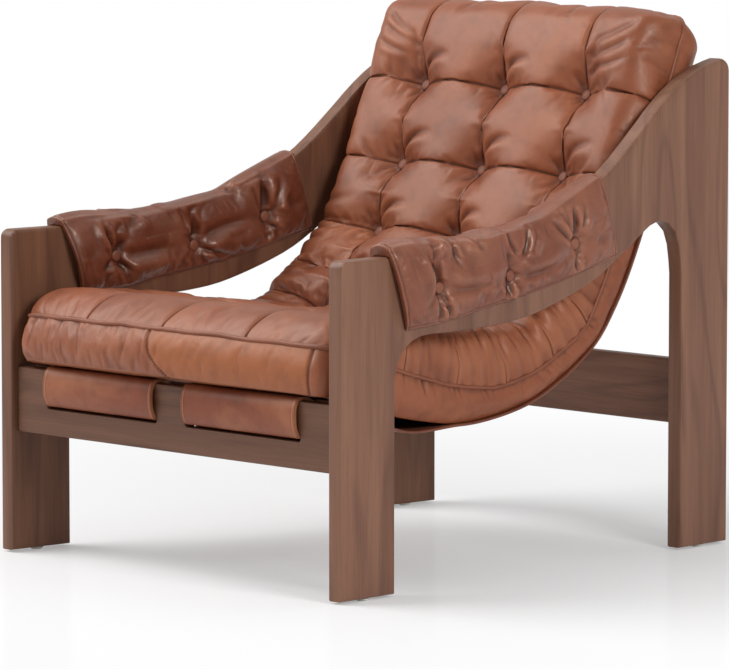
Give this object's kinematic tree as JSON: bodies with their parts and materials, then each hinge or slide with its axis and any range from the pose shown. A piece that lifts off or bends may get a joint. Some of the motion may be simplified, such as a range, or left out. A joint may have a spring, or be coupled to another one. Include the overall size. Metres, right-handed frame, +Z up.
{
  "type": "lounge chair",
  "caption": "Low lounge chair: a long tufted leather cushion in a leather sling, hung between two arched wooden side frames whose arms carry buttoned leather pads.",
  "frame": {"origin": "on the floor, under the middle of the chair's outline seen from above", "axes": "+X to the right seen from the front, +Y from the front to the back, +Z up"},
  "size_m": [0.832, 0.9506, 0.8968],
  "materials": {
    "frame_wood": "open-grained hardwood stained grey-brown, satin",
    "cushion_leather": "soft aniline leather, russet brown, satin sheen, creased",
    "button_leather": "covered button in the same russet leather",
    "sling_leather": "firmer russet saddle leather, stitched edges",
    "steel_hardware": "dark powder coat",
    "rod_steel": "plain drawn steel rod",
    "dowel_beech": "raw beech dowel",
    "glide_nylon": "pale nylon"
  },
  "bodies": {
    "root": {"side_frame_left": "frame_wood", "arm_pad_left": "cushion_leather", "arm_button_left_inner_front": "button_leather", "arm_button_left_inner_middle": "button_leather", "arm_button_left_inner_rear": "button_leather", "arm_button_left_outer_front": "button_leather", "arm_button_left_outer_middle": "button_leather", "arm_button_left_outer_rear": "button_leather", "front_rail_dowel_lower_left": "dowel_beech", "front_rail_dowel_upper_left": "dowel_beech", "front_rail_bracket_left": "steel_hardware", "rear_rail_dowel_lower_left": "dowel_beech", "rear_rail_dowel_upper_left": "dowel_beech", "rear_rail_bracket_left": "steel_hardware", "upper_back_rail_dowel_lower_left": "dowel_beech", "upper_back_rail_dowel_upper_left": "dowel_beech", "upper_back_rail_bracket_left": "steel_hardware", "glide_front_left": "glide_nylon", "sling_strap_front_left": "sling_leather", "strap_rod_front_left": "rod_steel", "glide_rear_left": "glide_nylon", "sling_strap_rear_left": "sling_leather", "strap_rod_rear_left": "rod_steel", "side_frame_right": "frame_wood", "arm_pad_right": "cushion_leather", "arm_button_right_inner_front": "button_leather", "arm_button_right_inner_middle": "button_leather", "arm_button_right_inner_rear": "button_leather", "arm_button_right_outer_front": "button_leather", "arm_button_right_outer_middle": "button_leather", "arm_button_right_outer_rear": "button_leather", "front_rail_dowel_lower_right": "dowel_beech", "front_rail_dowel_upper_right": "dowel_beech", "front_rail_bracket_right": "steel_hardware", "rear_rail_dowel_lower_right": "dowel_beech", "rear_rail_dowel_upper_right": "dowel_beech", "rear_rail_bracket_right": "steel_hardware", "upper_back_rail_dowel_lower_right": "dowel_beech", "upper_back_rail_dowel_upper_right": "dowel_beech", "upper_back_rail_bracket_right": "steel_hardware", "glide_front_right": "glide_nylon", "sling_strap_front_right": "sling_leather", "strap_rod_front_right": "rod_steel", "glide_rear_right": "glide_nylon", "sling_strap_rear_right": "sling_leather", "strap_rod_rear_right": "rod_steel", "front_rail": "frame_wood", "rear_rail": "frame_wood", "upper_back_rail": "frame_wood", "sling": "sling_leather", "seat_cushion": "cushion_leather"}
  },
  "joints": []
}
